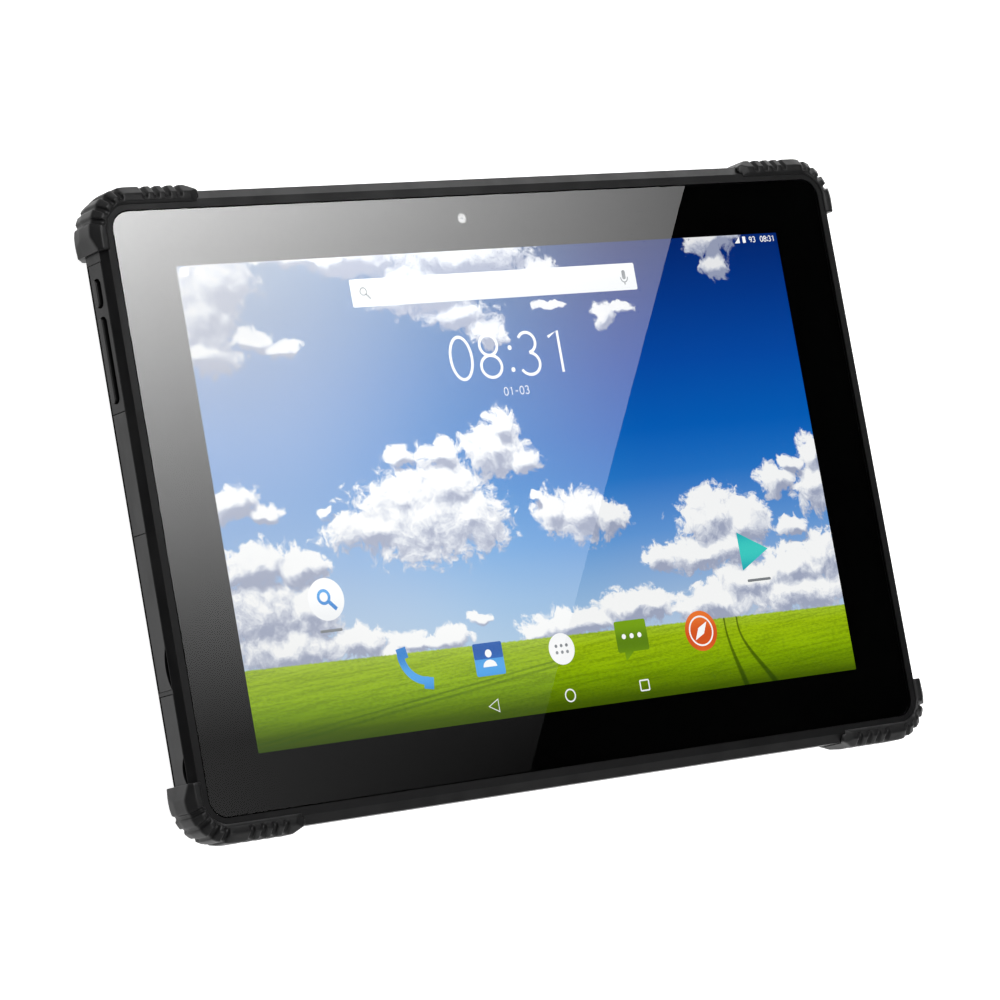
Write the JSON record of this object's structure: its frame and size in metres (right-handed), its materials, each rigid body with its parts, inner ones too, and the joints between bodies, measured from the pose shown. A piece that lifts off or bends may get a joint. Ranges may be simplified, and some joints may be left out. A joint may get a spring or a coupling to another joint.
{
  "type": "data collector",
  "caption": "Flat rugged tablet with a glass front, ribbed corner guards, side keys that travel and hinged port flaps on the left edge.",
  "frame": {"origin": "middle of the underside, where the corner guards rest, with the tablet lying on its back", "axes": "+X along the long edge to the right of the screen, +Y towards the camera edge, +Z out of the screen"},
  "size_m": [0.2678, 0.1816, 0.0175],
  "materials": {
    "body_plastic": "fine moulded texture, satin",
    "guard_rubber": "soft-touch moulded rubber",
    "flap_rubber": "soft-touch moulded rubber",
    "key_plastic": "satin",
    "cover_glass": "polished",
    "border_black": "black print",
    "display_face": "lit display",
    "backlight": "white",
    "chassis_metal": "die-cast, bead blasted",
    "board_green": "solder mask",
    "chip_black": "matt epoxy",
    "shield_tin": "tinned sheet",
    "port_steel": "stamped",
    "port_black": "moulded",
    "battery_wrap": "film wrap",
    "tape_white": "tape",
    "foam_grey": "foam",
    "flex_amber": "polyimide film",
    "cell_steel": "plated",
    "motor_steel": "plated",
    "ceramic_patch": "ceramic",
    "antenna_copper": "etched foil",
    "speaker_black": "moulded",
    "mesh_steel": "woven mesh",
    "lens_glass": "polished",
    "window_glass": "polished",
    "lamp_lens": "clear lens over phosphor",
    "screw_black": "black zinc",
    "screw_plain": "zinc",
    "insert_brass": "knurled brass",
    "pin_steel": "ground",
    "seal_rubber": "moulded",
    "switch_steel": "stamped"
  },
  "bodies": {
    "root": {"front_frame": "body_plastic", "rear_shell": "body_plastic", "shell_seal": "seal_rubber", "corner_guard_top_left": "guard_rubber", "corner_guard_top_right": "guard_rubber", "corner_guard_bottom_left": "guard_rubber", "corner_guard_bottom_right": "guard_rubber", "cover_glass": "cover_glass", "glass_border": "border_black", "display_cell": "display_face", "backlight_unit": "backlight", "display_foam": "foam_grey", "display_flex": "flex_amber", "front_camera": "port_black", "front_camera_lens": "lens_glass", "side_key_plate": "body_plastic", "side_trim_strip": "flap_rubber", "rocker_pin": "pin_steel", "key_board": "board_green", "key_switches": "switch_steel", "flap_hinge_pins": "pin_steel", "audio_jack": "port_black", "power_jack": "port_black", "usb_c_port": "port_steel", "micro_hdmi_port": "port_steel", "card_slot": "port_steel", "middle_chassis": "chassis_metal", "main_board": "board_green", "board_chips": "chip_black", "shield_cans": "shield_tin", "backup_cell": "cell_steel", "microphone": "chip_black", "positioning_antenna": "ceramic_patch", "cellular_antenna": "antenna_copper", "wireless_antenna": "antenna_copper", "vibration_motor": "motor_steel", "battery_pack": "battery_wrap", "battery_tape": "tape_white", "battery_lead": "flex_amber", "speakers": "speaker_black", "speaker_mesh": "mesh_steel", "rear_camera": "port_black", "rear_camera_window": "window_glass", "flash_lamp": "lamp_lens", "shell_screws": "screw_black", "guard_screws": "screw_black", "board_screws": "screw_plain", "chassis_screws": "screw_plain", "bracket_inserts": "insert_brass"},
    "power_button": {"power_button": "key_plastic"},
    "volume_rocker": {"volume_rocker": "key_plastic"},
    "upper_flap": {"upper_port_flap": "flap_rubber"},
    "lower_flap": {"lower_port_flap": "flap_rubber"}
  },
  "joints": [
    {"name": "power_press", "type": "slide", "parent": "root", "child": "power_button", "axis": [1, 0, 0], "range_m": [0, 0.0004], "stiffness_N_per_m": 1500},
    {"name": "volume_rock", "type": "hinge", "parent": "root", "child": "volume_rocker", "pos_m": [-0.12945, 0.0438, 0.01025], "axis": [0, 0, 1], "range_deg": [-1.5, 1.5], "stiffness_Nm_per_rad": 0.2},
    {"name": "upper_flap_hinge", "type": "hinge", "parent": "root", "child": "upper_flap", "pos_m": [-0.1302, -0.00585, 0.0111], "axis": [0, 0, -1], "range_deg": [0, 90]},
    {"name": "lower_flap_hinge", "type": "hinge", "parent": "root", "child": "lower_flap", "pos_m": [-0.1302, -0.05, 0.0111], "axis": [0, 0, -1], "range_deg": [0, 90]}
  ]
}
